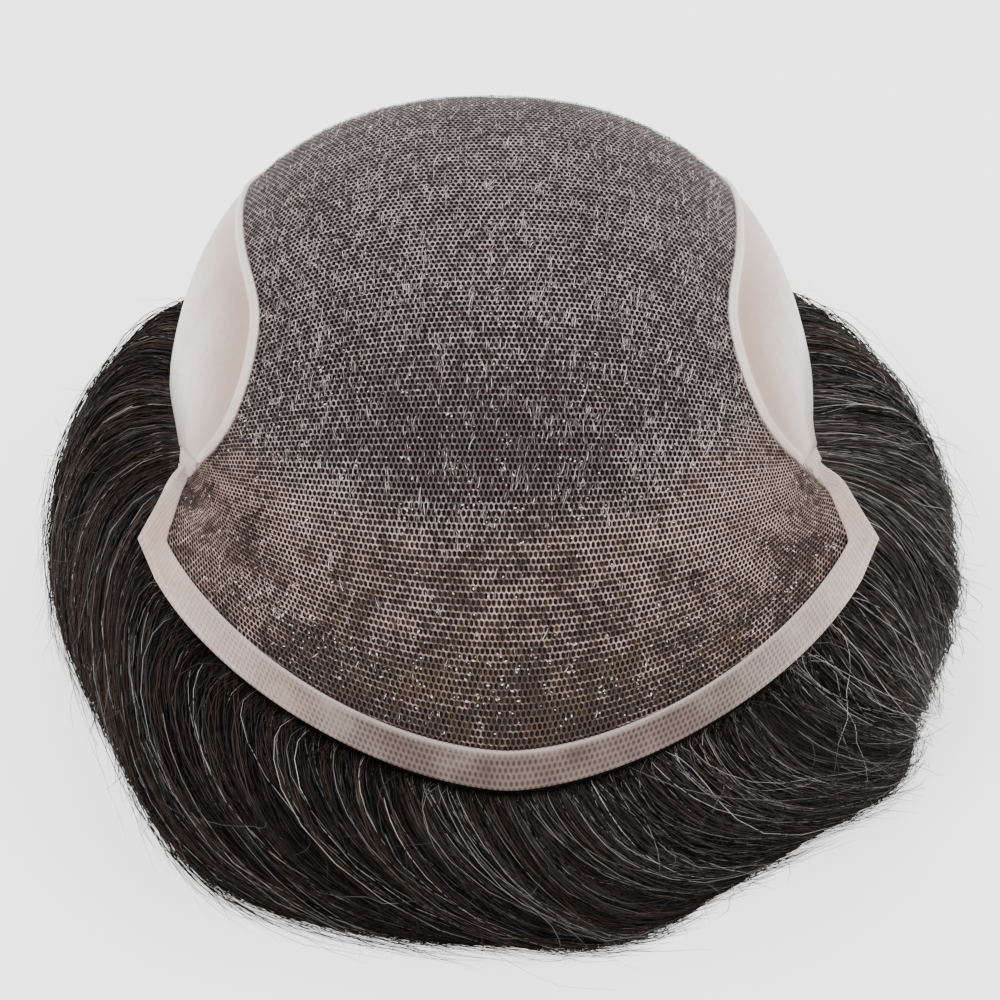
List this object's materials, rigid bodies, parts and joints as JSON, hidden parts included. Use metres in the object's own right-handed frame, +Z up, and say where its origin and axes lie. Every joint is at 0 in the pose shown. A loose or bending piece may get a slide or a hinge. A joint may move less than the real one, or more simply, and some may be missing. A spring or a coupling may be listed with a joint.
{
  "type": "toupee hairpiece",
  "caption": "Lace toupee turned inside out, standing on its own dark hair, with a folded front band and two thin-skin side panels.",
  "frame": {"origin": "on the surface that the hairpiece stands on, under the middle of its bounding box", "axes": "+Z up out of the scalp side of the crown, -Y towards the front hairline, +Y towards the back edge, +X to the right as seen from the front hairline"},
  "size_m": [0.1906, 0.2234, 0.0963],
  "materials": {
    "lace": "fine hexagonal monofilament lace, greyish beige, matte",
    "lace_band": "folded double lace, pale pinkish beige, matte",
    "thin_skin": "thin milky polyurethane film over gauze, satin",
    "hair_roots": "knotted hair roots, near black",
    "hair": "loose wavy hair strands, near black with dark brown and some grey"
  },
  "bodies": {
    "root": {"lace_cap": "lace", "front_band": "lace_band", "pu_panel_right": "thin_skin", "pu_panel_left": "thin_skin", "hair_mat": "hair_roots", "hair_front": "hair", "hair_right": "hair", "hair_back": "hair", "hair_left": "hair"}
  },
  "joints": []
}
